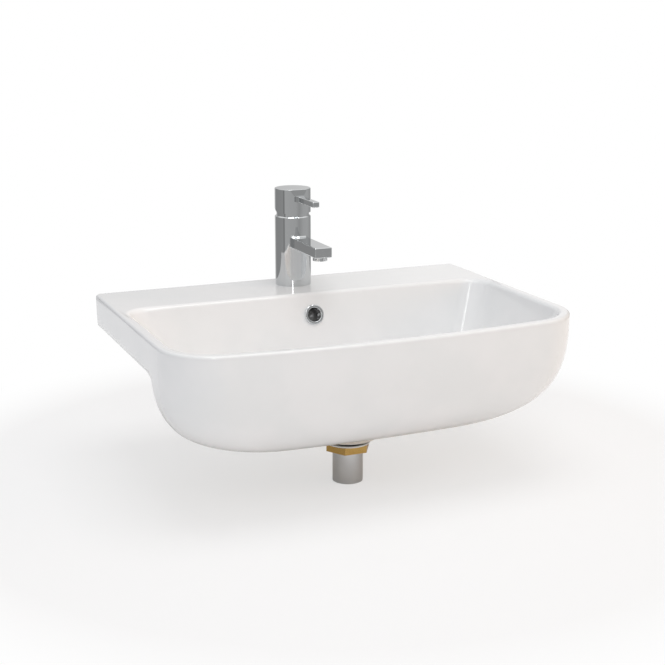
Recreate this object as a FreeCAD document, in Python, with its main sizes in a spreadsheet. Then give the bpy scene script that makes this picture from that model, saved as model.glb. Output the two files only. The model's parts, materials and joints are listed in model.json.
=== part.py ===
"""Semi recessed basin with its one-hole mixer tap, overflow and push-to-open waste.

Frame: +Z up, +X to the right seen from the front, +Y to the wall. The origin is in the middle of the
back wall's seat face, which stands on the worktop. Lengths are millimetres.
"""
import FreeCAD, Part
import os
import re
from math import hypot
import Sketcher
from FreeCAD import Placement, Rotation, Vector

doc = FreeCAD.newDocument("SemiRecessedBasin")

# ---------------------------------------------------------------- driving dimensions
SIZES = {
    # the rim and the plan outline
    "basin_width": 560, "basin_depth": 400, "rim_height": 43, "skirt_wall": 12, "rim_wall": 14,
    "front_corner_radius": 74, "back_corner_radius": 8, "front_bow_radius": 1700,
    "rim_outer_radius": 4, "rim_inner_radius": 6.5, "deck_thickness": 14,
    # the exposed front part: its depth, and how square its side and front curves are
    "apron_wall": 16.5, "apron_nose": 3.5, "apron_side_power": 3.5, "apron_front_power": 2.8,
    "apron_length": 283, "apron_centre": 220,
    # the bowl's inside and the shell under the worktop
    "bowl_centre": 245, "bowl_back": 113, "bowl_floor": 143, "bowl_nose": 2, "bowl_taper": 0.30,
    "bowl_power": 6, "bowl_corner_radius": 60, "shell_wall": 10, "floor_wall": 14, "shell_nose": 3,
    "shell_power": 4.5, "shell_overlap": 0.5, "shell_corner_radius": 40, "back_allowance": 20,
    # the overflow
    "overflow_drop": 29.5, "overflow_bore": 19.5, "overflow_hole": 24, "overflow_flange": 28.5,
    "overflow_flange_thickness": 2.6, "overflow_sleeve": 11, "overflow_fit": 0.25,
    "duct_width": 50, "duct_passage": 12, "duct_wall": 8, "duct_skin": 7, "duct_height": 10,
    "duct_top": 20, "duct_rise": 26, "duct_toe": 47, "duct_root": 86, "duct_floor": 8,
    "duct_relief": 2, "overflow_lip_radius": 1, "overflow_bedding": 0.02, "boss_drop": 27,
    # the waste
    "waste_setback": 240, "waste_hole": 46, "waste_boss": 78, "waste_recess": 67, "waste_recess_depth": 3,
    "waste_dish": 112, "waste_dish_depth": 1.6, "waste_thread": 41.9, "waste_bore": 36, "waste_flange": 63,
    "waste_flange_thickness": 3, "waste_flange_radius": 1, "waste_flange_land": 7, "waste_tail": 62, "tail_length": 42, "tail_diameter": 41,
    "waste_seal_thickness": 1.5, "waste_seal_inset": 3, "waste_slot_width": 17,
    "tapered_washer_thickness": 6, "slip_washer_thickness": 2, "backnut_thickness": 10,
    "backnut_flats": 54, "washer_width": 9, "washer_land": 5.4,
    "spider_thickness": 5, "spider_hub": 22, "spider_arm": 5,
    "spider_drop": 36, "clicker_diameter": 16, "clicker_length": 32, "clicker_wall": 3,
    "clicker_spring_room": 10, "plunger_diameter": 10,
    "running_clearance": 0.1, "plug_diameter": 56, "plug_thickness": 4, "plug_crown": 2.6,
    "plug_gap": 0.3, "plug_skirt": 1.5, "plug_edge_radius": 1, "plug_seal_thickness": 2,
    "plug_seal_width": 4,
    # the tap's body and spout
    "tap_setback": 43, "tap_hole": 35, "tap_diameter": 51.2, "tap_height": 100, "tap_chamfer": 1.6,
    "spout_reach": 114, "spout_width": 25, "spout_low": 56.8, "spout_thickness": 14.2,
    "spout_edge_radius": 1.4, "spout_root_radius": 3, "water_bore": 7, "water_level": 61.5,
    "outlet_offset": 8, "aerator_reach": 101, "aerator_chamber": 9, "aerator_recess": 1.5,
    "aerator_diameter": 20, "aerator_drop": 5, "aerator_thread": 18.5, "aerator_thread_length": 7,
    "aerator_bore": 15, "aerator_jet": 1.8, "aerator_ring": 9, "base_seal_outer": 47, "base_seal_inner": 38,
    "base_seal_thickness": 1.8, "inlet_thread": 9.2, "inlet_length": 14, "inlet_spacing": 19,
    "inlet_setback": 4, "inlet_passage": 6, "stud_diameter": 8, "stud_offset": 9.5, "stud_engagement": 10,
    "stud_length": 58, "horseshoe_diameter": 50, "horseshoe_slot": 31, "horseshoe_slot_start": 2,
    "horseshoe_rubber_thickness": 3, "horseshoe_plate_thickness": 2.5, "stud_nut_flats": 13,
    "stud_nut_height": 10,
    # the cartridge, by heights above the deck
    "cartridge_seat": 66.5, "gasket_thickness": 1.5, "gasket_inset": 1, "mixing_hollow": 10.5,
    "cartridge_base_thickness": 4,
    "disc_thickness": 4, "slide_thickness": 4, "cartridge_diameter": 35, "cartridge_inner": 26.2,
    "cartridge_shoulder": 90, "cartridge_neck_diameter": 31, "cartridge_top": 98.5,
    "cartridge_lid": 2.3, "carrier_neck_diameter": 22.8, "carrier_top": 101, "nut_diameter": 39,
    "nut_top": 97.5, "moving_disc_diameter": 21, "moving_disc_offset": 2, "port_diameter": 5.4,
    "port_circle": 13, "pivot_height": 91, "pivot_pin_diameter": 3, "pivot_pin_length": 24,
    "stem_width": 8, "stem_top": 128, "stem_shoulder": 86, "stem_neck_diameter": 4.5,
    "stem_ball_diameter": 5.6, "stem_arm": 8, "ball_clearance": 0.3, "carrier_slot_front": 8.2,
    "carrier_slot_back": 9.4, "shroud_diameter": 46.4, "shroud_top": 104.2, "shroud_lid": 1.5,
    "shroud_opening": 27, "piece_clearance": 0.2,
    # the handle
    "handle_low": 104.5, "handle_height": 34, "handle_edge_radius": 1, "handle_relief_angle": 25,
    "handle_relief_start": 5, "facet_top": 22.3, "facet_angle": 15, "facet_height": 20,
    "lever_low": 122, "lever_thickness": 8, "lever_width": 10, "lever_reach": 88,
    "lever_edge_radius": 1.4, "lever_root_width": 14, "lever_root_reach": 34, "lever_start": 20,
    "handle_boss": 17, "handle_hollow": 40, "handle_hollow_depth": 9.5,
    "grub_height": 124, "grub_diameter": 5, "grub_length": 8, "grub_key": 2.5, "grub_key_depth": 3,
    "screw_cap_diameter": 7, "screw_cap_depth": 3, "screw_cap_gap": 0.4,
}

sheet = doc.addObject("Spreadsheet::Sheet", "Sizes")
for row, (alias, number) in enumerate(SIZES.items(), start=1):
    sheet.set("A%d" % row, alias)
    sheet.set("B%d" % row, str(number))
    sheet.setAlias("B%d" % row, alias)
doc.recompute()


def sized(text):
    """The expression in which each bare name of a size is read from the sheet."""
    return re.sub("[a-z_]+", lambda word: "Sizes." * (word.group() in SIZES) + word.group(), text)


def value(text):
    """The number that an expression in the sheet's sizes gives now."""
    result = sheet.evalExpression(sized(str(text)))
    return float(getattr(result, "Value", result))


def bind(item, path, text):
    item.setExpression(path, sized(str(text)))


# Places that several pieces share, written as expressions in the sheet's sizes.
BACK = "skirt_wall / 2"
DECK = "rim_height"
TAP_Y = "( skirt_wall / 2 - tap_setback )"
WASTE_Y = "( skirt_wall / 2 - waste_setback )"
FLOOR_Z = "( rim_height - bowl_floor )"
WASTE_SEAT_Z = "( rim_height - bowl_floor - waste_recess_depth )"
BOSS_Z = "( rim_height - bowl_floor - boss_drop )"
BACK_WALL = "skirt_wall / 2 - bowl_back"
OVERFLOW_Y = "( skirt_wall / 2 - bowl_back - bowl_taper * overflow_drop )"
BARREL_LOW = "( waste_recess_depth - boss_drop - waste_tail )"
DUCT_BEND = "( bowl_floor - duct_rise )"
DUCT_ROOF = "( rim_height - bowl_floor - boss_drop + duct_floor + duct_height )"

# The shares of each form's floor depth at which its loft has an outline.
APRON_SHARES = (0, 0.2, 0.4, 0.56, 0.7, 0.81, 0.89, 0.95, 0.985, 1)
SHELL_SHARES = (0.2, 0.4, 0.6, 0.75, 0.86, 0.94, 1)
BOWL_SHARES = (0, 0.14, 0.28, 0.42, 0.56, 0.74, 0.86, 0.94, 0.98, 1)


# ---------------------------------------------------------------- bodies and sketches
def new_body(name, x="0", y="0", z="0"):
    body = doc.addObject("PartDesign::Body", name)
    body.Label = name
    for axis, text in zip("xyz", (x, y, z)):
        bind(body, "Placement.Base." + axis, text)
    return body


def tap_piece(name, z="0"):
    """A body whose own origin is on the tap's axis, z above the deck."""
    return new_body(name, y=TAP_Y, z="%s + %s" % (DECK, z))


def waste_piece(name, z):
    """A body whose own origin is on the waste's axis."""
    return new_body(name, y=WASTE_Y, z=z)


def origin_item(body, role):
    return next(item for item in body.Origin.OriginFeatures if item.Role == role)


def sketch_on(body, name, plane="XY_Plane", offset="0"):
    """An empty sketch on one of the body's own planes, moved along that plane's normal."""
    sketch = body.newObject("Sketcher::SketchObject", name)
    sketch.AttachmentSupport = [(origin_item(body, plane), "")]
    sketch.MapMode = "FlatFace"
    bind(sketch, "AttachmentOffset.Base.z", offset)
    return sketch


def dimension(sketch, kind, items, name, text):
    """A driving dimension bound to an expression; a negative place is measured the other way."""
    number = value(text)
    if kind in ("DistanceX", "DistanceY") and number < 0:
        items = items[2:] + items[:2]
        text = "-1 * ( %s )" % text
        number = -number
    sketch.addConstraint(Sketcher.Constraint(kind, *items, number))
    sketch.renameConstraint(sketch.ConstraintCount - 1, name)
    bind(sketch, "Constraints." + name, text)


def place_point(sketch, geometry, end, name, across, up):
    """Fixes one point by its two distances from the sketch's origin."""
    for kind, axis, text in (("DistanceX", "x", across), ("DistanceY", "y", up)):
        if value(text) == 0:
            axis_line = -2 if axis == "x" else -1
            sketch.addConstraint(Sketcher.Constraint("PointOnObject", geometry, end, axis_line))
        else:
            dimension(sketch, kind, (-1, 1, geometry, end), name + axis, text)


def polygon(sketch, corners, arcs=(), prefix="corner"):
    """A closed outline; each corner is a pair of expressions, and arcs gives the radius of each
    side that is an arc, as (side, radius, bulge) with the bulge to the left (1) or right (-1)."""
    points = [Vector(value(across), value(up), 0) for across, up in corners]
    first = sketch.GeometryCount
    count = len(points)
    curved = {side: (radius, bulge) for side, radius, bulge in arcs}
    starts, ends = {}, {}
    for index in range(count):
        here, there = points[index], points[(index + 1) % count]
        curve = Part.LineSegment(here, there)
        if index in curved:
            radius, bulge = curved[index]
            along = there - here
            half = along.Length / 2
            left = Vector(-along.y, along.x, 0).normalize() * bulge
            rise = value(radius) - (value(radius) ** 2 - half ** 2) ** 0.5
            curve = Part.Arc(here, (here + there) * 0.5 + left * rise, there)
        geometry = sketch.addGeometry(curve, False)
        forward = (sketch.getPoint(geometry, 1) - here).Length < (sketch.getPoint(geometry, 2) - here).Length
        starts[index], ends[index] = (1, 2) if forward else (2, 1)
    for index in range(count):
        following = (index + 1) % count
        sketch.addConstraint(Sketcher.Constraint(
            "Coincident", first + index, ends[index], first + following, starts[following]))
    for index, (across, up) in enumerate(corners):
        place_point(sketch, first + index, starts[index], "%s%d_" % (prefix, index), across, up)
    for side, (radius, bulge) in curved.items():
        dimension(sketch, "Radius", (first + side,), "%s%d_arc" % (prefix, side), radius)


def circle(sketch, diameter, across="0", up="0", prefix="round"):
    geometry = sketch.addGeometry(
        Part.Circle(Vector(value(across), value(up), 0), Vector(0, 0, 1), value(diameter) / 2), False)
    dimension(sketch, "Diameter", (geometry,), prefix + "_diameter", diameter)
    place_point(sketch, geometry, 3, prefix + "_", across, up)


def rectangle(sketch, low_x, high_x, low_y, high_y, prefix="corner"):
    polygon(sketch, [(low_x, low_y), (high_x, low_y), (high_x, high_y), (low_x, high_y)], (), prefix)


def hexagon(sketch, flats):
    """A hexagon across its flats, with two flats square to Y."""
    half = "( %s ) / 2" % flats
    corner = "( %s ) / sqrt( 3 )" % flats
    polygon(sketch, [("-1 * " + corner, "0"), ("-0.5 * " + corner, "-1 * " + half),
                     ("0.5 * " + corner, "-1 * " + half), (corner, "0"),
                     ("0.5 * " + corner, half), ("-0.5 * " + corner, half)])


def add(body, kind, sketch, **properties):
    """A PartDesign feature made from a sketch; a property given as text is an expression."""
    feature = body.newObject("PartDesign::" + kind, kind + "_" + sketch.Name)
    feature.Profile = sketch
    for name, item in properties.items():
        if isinstance(item, str) and name not in ("Type", "SideType"):
            bind(feature, name, item)
        else:
            setattr(feature, name, item)
    doc.recompute()
    return feature


def pad(body, sketch, length, **more):
    return add(body, "Pad", sketch, Length=length, **more)


def pocket(body, sketch, length, **more):
    """Cuts against the sketch's normal, or along it with Reversed."""
    before = body.Shape.Volume
    feature = add(body, "Pocket", sketch, Length=length, **more)
    if body.Shape.Volume >= before:
        raise RuntimeError("%s cuts nothing" % feature.Name)
    return feature


def revolve(body, name, corners, arcs=(), kind="Revolution", axis_y="0"):
    """Turns a closed profile, given by radius and height, about an upright axis."""
    sketch = sketch_on(body, name, "XZ_Plane", "-1 * ( %s )" % axis_y)
    polygon(sketch, corners, arcs)
    return add(body, kind, sketch, ReferenceAxis=(sketch, ["V_Axis"]), Angle=360)


def ring(body, name, inner, outer, low, high):
    """A plain ring by its two diameters and its two heights."""
    revolve(body, name, [("( %s ) / 2" % inner, low), ("( %s ) / 2" % outer, low),
                         ("( %s ) / 2" % outer, high), ("( %s ) / 2" % inner, high)])


def round_edges(body, radius, chosen, kind="Fillet"):
    """Rounds or bevels the body's edges that the test picks by their middle points."""
    base = body.Tip
    names = ["Edge%d" % number for number, edge in enumerate(base.Shape.Edges, start=1)
             if chosen(middle(edge), edge)]
    if not names:
        raise RuntimeError("%s has no edge to round" % body.Label)
    feature = body.newObject("PartDesign::" + kind, "%s_%s" % (kind, body.Name))
    feature.Base = (base, names)
    bind(feature, "Radius" if kind == "Fillet" else "Size", radius)
    doc.recompute()
    return feature


def middle(edge):
    return edge.valueAt((edge.FirstParameter + edge.LastParameter) / 2)


def near(number, target, slack=0.05):
    return abs(number - target) < slack


# ---------------------------------------------------------------- the basin
def rounded_outline(body, name, z, half_width, front, back, front_radius, back_radius):
    """A plan outline: straight back and sides, four corner arcs and a bowed front."""
    sketch = sketch_on(body, name, offset=z)
    a, yf, yb = value(half_width), value(front), value(back)
    rf, rb, bow = value(front_radius), value(back_radius), value("front_bow_radius")
    bow_y = yf + bow
    corner_x = a - rf
    corner_y = bow_y - ((bow - rf) ** 2 - corner_x ** 2) ** 0.5
    reach = hypot(corner_x, bow_y - corner_y)
    tangent_x = corner_x * bow / reach
    tangent_y = bow_y - (bow_y - corner_y) * bow / reach

    def arc(start, mid, end):
        return Part.Arc(Vector(*start, 0), Vector(*mid, 0), Vector(*end, 0))

    def corner_mid(side, centre_y, radius, up):
        slant = radius * 0.5 ** 0.5
        return (side * (a - radius + slant), centre_y + up * slant)

    curves = [
        arc((-tangent_x, tangent_y), (0, yf), (tangent_x, tangent_y)),
        arc((tangent_x, tangent_y), corner_mid(1, corner_y, rf, -1), (a, corner_y)),
        Part.LineSegment(Vector(a, corner_y, 0), Vector(a, yb - rb, 0)),
        arc((a, yb - rb), corner_mid(1, yb - rb, rb, 1), (a - rb, yb)),
        Part.LineSegment(Vector(a - rb, yb, 0), Vector(rb - a, yb, 0)),
        arc((rb - a, yb), corner_mid(-1, yb - rb, rb, 1), (-a, yb - rb)),
        Part.LineSegment(Vector(-a, yb - rb, 0), Vector(-a, corner_y, 0)),
        arc((-a, corner_y), corner_mid(-1, corner_y, rf, -1), (-tangent_x, tangent_y)),
    ]
    for curve in curves:
        sketch.addGeometry(curve, False)
    for index, curve in enumerate(curves):
        following = (index + 1) % len(curves)
        # an arc drawn clockwise is kept counter-clockwise, so its ends are told apart by place
        here = end_at(sketch, index, curves[following], curve)
        there = end_at(sketch, following, curve, curves[following])
        sketch.addConstraint(Sketcher.Constraint("Tangent", index, here, following, there))
    for side in (2, 6):
        sketch.addConstraint(Sketcher.Constraint("Vertical", side))
    sketch.addConstraint(Sketcher.Constraint("Horizontal", 4))
    dimension(sketch, "Radius", (0,), "bow", "front_bow_radius")
    for index, name_of in ((1, "right_front"), (7, "left_front")):
        dimension(sketch, "Radius", (index,), name_of, front_radius)
    for index, name_of in ((3, "right_back"), (5, "left_back")):
        dimension(sketch, "Radius", (index,), name_of, back_radius)
    dimension(sketch, "DistanceX", (-1, 1, 2, 1), "right_side", half_width)
    dimension(sketch, "DistanceX", (-1, 1, 6, 1), "left_side", "-1 * ( %s )" % half_width)
    dimension(sketch, "DistanceY", (-1, 1, 4, 1), "back", back)
    sketch.addConstraint(Sketcher.Constraint("PointOnObject", 0, 3, -2))
    dimension(sketch, "DistanceY", (-1, 1, 0, 3), "bow_centre", "%s + front_bow_radius" % front)
    return sketch


def end_at(sketch, index, other, own):
    """Which end, 1 or 2, of a sketch's curve lies on the other curve's nearest end."""
    ends = [sketch.getPoint(index, 1), sketch.getPoint(index, 2)]
    shared = [other.StartPoint, other.EndPoint]
    gaps = [min(end.distanceToPoint(point) for point in shared) for end in ends]
    return 1 + gaps.index(min(gaps))


def ellipse_share(depth, full, power):
    """How much of the rim's half width is left at a depth, on a squared-off ellipse."""
    return "( 1 - ( ( %s ) / ( %s ) ) ^ %s ) ^ ( 1 / %s )" % (depth, full, power, power)


def level_name(form, share):
    """A sketch's name: its form and the share of the form's depth that it lies at."""
    return form + str(share).replace(".", "_")


def apron_outline(body, share):
    """The outline that the worktop's front leaves in view, at a share of the apron's floor depth."""
    depth = "( ( bowl_floor + apron_wall ) * %s )" % share
    full = "bowl_floor + apron_wall + apron_nose"
    side = ellipse_share(depth, full, "apron_side_power")
    fore = ellipse_share(depth, full, "apron_front_power")
    front = "( skirt_wall / 2 - apron_centre - ( basin_depth - apron_centre ) * %s )" % fore
    return rounded_outline(body, level_name("Apron", share), "rim_height - " + depth,
                           "basin_width / 2 * " + side, front, BACK + " + back_allowance",
                           "front_corner_radius", "back_corner_radius")


def bowl_sizes(share, wall, floor, nose, power):
    """The depth at a share of a form's floor depth, and its half width, back reach and left share."""
    depth = "( ( %s ) * %s )" % (floor, share)
    left = ellipse_share(depth, "%s + %s" % (floor, nose), power)
    half = "( basin_width / 2 - rim_wall + %s - bowl_taper * %s ) * %s" % (wall, depth, left)
    rear = "( bowl_centre - bowl_back + %s - bowl_taper * %s ) * %s" % (wall, depth, left)
    return depth, half, "skirt_wall / 2 - bowl_centre + " + rear, left


def bowl_outline(body, share):
    """The outline of the bowl's inner face at a share of its floor depth."""
    depth, half, rear, left = bowl_sizes(share, "0", "bowl_floor", "bowl_nose", "bowl_power")
    reach = "( basin_depth - rim_wall - bowl_centre - bowl_taper * %s ) * %s" % (depth, left)
    corner = "bowl_corner_radius * " + left
    return rounded_outline(body, level_name("Bowl", share), "rim_height - " + depth, half,
                           "( skirt_wall / 2 - bowl_centre - %s )" % reach, rear, corner, corner)


def shell_outline(body, share):
    """The shell's outline behind the worktop's front edge: square in front, rounded at the back."""
    depth, half, rear, left = bowl_sizes(share, "shell_wall", "bowl_floor + floor_wall", "shell_nose",
                                         "shell_power")
    sketch = sketch_on(body, level_name("Shell", share), offset="rim_height - " + depth)
    front = BACK + " - apron_length - shell_overlap"
    corner = "shell_corner_radius * " + left
    a, yf, yb, r = value(half), value(front), value(rear), value(corner)
    slant = r * 0.5 ** 0.5
    outline = [
        Part.LineSegment(Vector(-a, yf, 0), Vector(a, yf, 0)),
        Part.LineSegment(Vector(a, yf, 0), Vector(a, yb - r, 0)),
        Part.Arc(Vector(a, yb - r, 0), Vector(a - r + slant, yb - r + slant, 0), Vector(a - r, yb, 0)),
        Part.LineSegment(Vector(a - r, yb, 0), Vector(r - a, yb, 0)),
        Part.Arc(Vector(r - a, yb, 0), Vector(r - a - slant, yb - r + slant, 0), Vector(-a, yb - r, 0)),
        Part.LineSegment(Vector(-a, yb - r, 0), Vector(-a, yf, 0))]
    for curve in outline:
        sketch.addGeometry(curve, False)
    for first, end, second, start, kind in ((0, 2, 1, 1, "Coincident"), (1, 2, 2, 1, "Tangent"),
                                            (2, 2, 3, 1, "Tangent"), (3, 2, 4, 1, "Tangent"),
                                            (4, 2, 5, 1, "Tangent"), (5, 2, 0, 1, "Coincident")):
        sketch.addConstraint(Sketcher.Constraint(kind, first, end, second, start))
    for side, kind in ((0, "Horizontal"), (1, "Vertical"), (3, "Horizontal"), (5, "Vertical")):
        sketch.addConstraint(Sketcher.Constraint(kind, side))
    for arc, name in ((2, "right_back"), (4, "left_back")):
        dimension(sketch, "Radius", (arc,), name, corner)
    dimension(sketch, "DistanceX", (-1, 1, 1, 1), "right_side", half)
    dimension(sketch, "DistanceX", (-1, 1, 5, 1), "left_side", "-1 * ( %s )" % half)
    dimension(sketch, "DistanceY", (-1, 1, 3, 1), "back", rear)
    dimension(sketch, "DistanceY", (-1, 1, 0, 1), "front", front)
    return sketch


def loft(body, kind, outlines):
    feature = body.newObject("PartDesign::" + kind, kind + "_" + outlines[0].Name)
    feature.Profile = outlines[0]
    feature.Sections = outlines[1:]
    feature.Ruled = False
    doc.recompute()
    return feature


def rim_edges(body, outer):
    """The outline of the rim's flat top, or the outline of the bowl's mouth in it."""
    height = value("rim_height")
    tops = [face for face in body.Tip.Shape.Faces
            if near(face.BoundBox.ZMin, height) and near(face.BoundBox.ZMax, height)]
    top = max(tops, key=lambda face: face.BoundBox.XLength)
    outline = top.OuterWire.Edges
    if outer:
        return outline
    return [edge for edge in top.Edges if not any(edge.isSame(one) for one in outline)]


def make_basin():
    body = new_body("basin")

    # the rim and the exposed front: one form from the rim's top down to the front's floor
    loft(body, "AdditiveLoft", [apron_outline(body, share) for share in APRON_SHARES])

    # behind the worktop's front edge nothing of that form goes below the seat
    clear = sketch_on(body, "BehindWorktopEdge")
    rectangle(clear, "-1 * basin_width", "basin_width", BACK + " - apron_length", "basin_depth")
    pocket(body, clear, "2 * bowl_floor")

    # the back is cut flat for the wall, and its two corners are rounded
    behind = sketch_on(body, "BehindWall")
    rectangle(behind, "-1 * basin_width", "basin_width", BACK, BACK + " + 2 * back_allowance")
    pocket(body, behind, "2 * rim_height", Midplane=True)
    back, side = value(BACK), value("basin_width / 2")
    round_edges(body, "back_corner_radius", lambda point, edge: near(point.y, back) and
                near(abs(point.x), side, 2) and near(edge.Length, value("rim_height"), 2))

    # the bowl's shell under the worktop, let into the rim above it
    loft(body, "AdditiveLoft", [shell_outline(body, share) for share in SHELL_SHARES])

    # the overflow's duct runs down the back wall and forward under the floor to the waste
    duct = sketch_on(body, "DuctOutside", "YZ_Plane")
    outside = BACK_WALL + " + duct_wall + duct_passage + duct_skin"
    polygon(duct, [
        (outside, "rim_height - deck_thickness / 2"),
        (outside + " - bowl_taper * " + DUCT_BEND, "rim_height - " + DUCT_BEND),
        (BACK_WALL + " - duct_toe + duct_skin", BOSS_Z),
        (WASTE_Y, BOSS_Z),
        (WASTE_Y, "rim_height - duct_root"),
        (BACK_WALL + " - duct_passage", "rim_height - deck_thickness / 2")])
    pad(body, duct, "duct_width + 2 * duct_skin", SideType="Symmetric")
    boss = sketch_on(body, "WasteBoss", offset=BOSS_Z)
    circle(boss, "waste_boss", "0", WASTE_Y)
    pad(body, boss, "boss_drop")

    # the bowl itself
    loft(body, "SubtractiveLoft", [bowl_outline(body, share) for share in BOWL_SHARES])

    # the rim's soft edges, outside and inside
    for radius, outer in (("rim_outer_radius", True), ("rim_inner_radius", False)):
        chosen = rim_edges(body, outer)
        round_edges(body, radius, lambda point, edge: any(edge.isSame(one) for one in chosen))

    # the hollow under the deck, open below, round the tap's fixing and behind the duct
    hollow = sketch_on(body, "UnderDeck")
    notch = "( duct_width / 2 + duct_skin )"
    wide = "( basin_width / 2 - skirt_wall )"
    rear, deep = "( 0 - skirt_wall / 2 )", "( %s + skirt_wall )" % BACK_WALL
    duct_back = "( %s + duct_relief )" % outside
    polygon(hollow, [
        (wide, rear), ("-1 * " + wide, rear), ("-1 * " + wide, deep), ("-1 * " + notch, deep),
        ("-1 * " + notch, duct_back), (notch, duct_back), (notch, deep), (wide, deep)])
    pocket(body, hollow, "rim_height - deck_thickness", Reversed=True)

    # the overflow's hole, square to the sloping back wall, and its passage to the waste
    overflow = sketch_on(body, "OverflowHole", "XZ_Plane", "-1 * ( %s )" % OVERFLOW_Y)
    overflow.AttachmentOffset = Placement(overflow.AttachmentOffset.Base, Rotation(Vector(-1, 0, 0), 1))
    bind(overflow, "AttachmentOffset.Base.y", "rim_height - overflow_drop")
    bind(overflow, "AttachmentOffset.Rotation.Angle", "atan( bowl_taper )")
    circle(overflow, "overflow_hole")
    pocket(body, overflow, "2 * duct_wall + duct_passage", SideType="Symmetric")
    passage = sketch_on(body, "DuctInside", "YZ_Plane")
    near_side = BACK_WALL + " + duct_wall"
    far_side = near_side + " + duct_passage"
    bed = BOSS_Z + " + duct_floor"
    polygon(passage, [
        (near_side + " - bowl_taper * duct_top", "rim_height - duct_top"),
        (near_side + " - bowl_taper * " + DUCT_BEND, "rim_height - " + DUCT_BEND),
        (BACK_WALL + " - duct_toe - duct_wall", DUCT_ROOF),
        (WASTE_Y, DUCT_ROOF),
        (WASTE_Y, bed),
        (BACK_WALL + " - duct_toe", bed),
        (far_side + " - bowl_taper * " + DUCT_BEND, "rim_height - " + DUCT_BEND),
        (far_side + " - bowl_taper * duct_top", "rim_height - duct_top")])
    pocket(body, passage, "duct_width", SideType="Symmetric")

    # the waste's dish, flange recess and hole, turned about the waste's axis
    revolve(body, "WasteHole", [
        ("0", FLOOR_Z + " + 1"),
        ("waste_dish / 2", FLOOR_Z + " + 1"),
        ("waste_dish / 2", FLOOR_Z),
        ("waste_recess / 2", FLOOR_Z + " - waste_dish_depth"),
        ("waste_recess / 2", WASTE_SEAT_Z),
        ("waste_hole / 2", WASTE_SEAT_Z),
        ("waste_hole / 2", BOSS_Z + " - 1"),
        ("0", BOSS_Z + " - 1")], kind="Groove", axis_y=WASTE_Y)

    # the tap's hole
    tap = sketch_on(body, "TapHole", offset=DECK)
    circle(tap, "tap_hole", "0", TAP_Y)
    pocket(body, tap, "2 * deck_thickness")
    return body


# ---------------------------------------------------------------- the overflow and the waste
def make_overflow_trim():
    """A turned ring: its flange lies on the back wall and its sleeve runs into the hole."""
    body = new_body("overflow_trim", y=OVERFLOW_Y, z="rim_height - overflow_drop")
    body.Placement = Placement(body.Placement.Base, Rotation(Vector(1, 0, 0), 1))
    bind(body, "Placement.Rotation.Angle", "90 deg - atan( bowl_taper )")
    sleeve = "( overflow_hole / 2 - overflow_fit )"
    revolve(body, "TrimProfile", [
        ("overflow_bore / 2", "-1 * overflow_sleeve"),
        (sleeve, "-1 * overflow_sleeve"),
        (sleeve, "overflow_bedding"),
        ("overflow_flange / 2", "overflow_bedding"),
        ("overflow_flange / 2", "overflow_flange_thickness / 3"),
        ("overflow_flange / 2 - overflow_flange_thickness * 2 / 3", "overflow_flange_thickness"),
        ("overflow_bore / 2 + overflow_lip_radius", "overflow_flange_thickness"),
        ("overflow_bore / 2", "overflow_flange_thickness - overflow_lip_radius")],
        [(4, "overflow_flange_thickness * 2 / 3", -1), (6, "overflow_lip_radius", -1)])


def make_waste_body():
    """The waste's flange, slotted barrel and threaded tail, with the spider that holds the clicker."""
    body = waste_piece("waste_body", WASTE_SEAT_Z)
    low = "waste_seal_thickness"
    high = "waste_seal_thickness + waste_flange_thickness"
    tail = BARREL_LOW
    shoulder = tail + " + tail_length"
    revolve(body, "BarrelProfile", [
        ("waste_thread / 2", low), ("waste_flange / 2", low),
        ("waste_flange / 2", high + " - waste_flange_radius"),
        ("waste_flange / 2 - waste_flange_radius", high),
        ("waste_flange / 2 - waste_flange_land", high), ("waste_bore / 2", low),
        ("waste_bore / 2", tail), ("tail_diameter / 2", tail), ("tail_diameter / 2", shoulder),
        ("waste_thread / 2", shoulder)],
        [(2, "waste_flange_radius", -1)])
    slot_high = "( %s - %s )" % (DUCT_ROOF, WASTE_SEAT_Z)
    for plane in ("XZ_Plane", "YZ_Plane"):
        slot = sketch_on(body, "Slot" + plane[:2], plane)
        half = "waste_slot_width / 2"
        rectangle(slot, "-1 * " + half, half, slot_high + " - duct_height", slot_high)
        pocket(body, slot, "2 * waste_thread", SideType="Symmetric")
    arm_reach = "( waste_bore / 2 + waste_thread / 2 ) / 2"
    for number, (across, up) in enumerate([(arm_reach, "spider_arm / 2"), ("spider_arm / 2", arm_reach)]):
        arm = sketch_on(body, "SpiderArm%d" % number, offset="-1 * spider_drop - spider_thickness")
        rectangle(arm, "-1 * " + across, across, "-1 * " + up, up)
        pad(body, arm, "spider_thickness")
    hub = sketch_on(body, "SpiderHub", offset="-1 * spider_drop - spider_thickness")
    circle(hub, "spider_hub")
    pad(body, hub, "spider_thickness")
    bore = sketch_on(body, "SpiderBore", offset="-1 * spider_drop")
    circle(bore, "clicker_diameter + 2 * running_clearance")
    pocket(body, bore, "spider_thickness")


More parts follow.
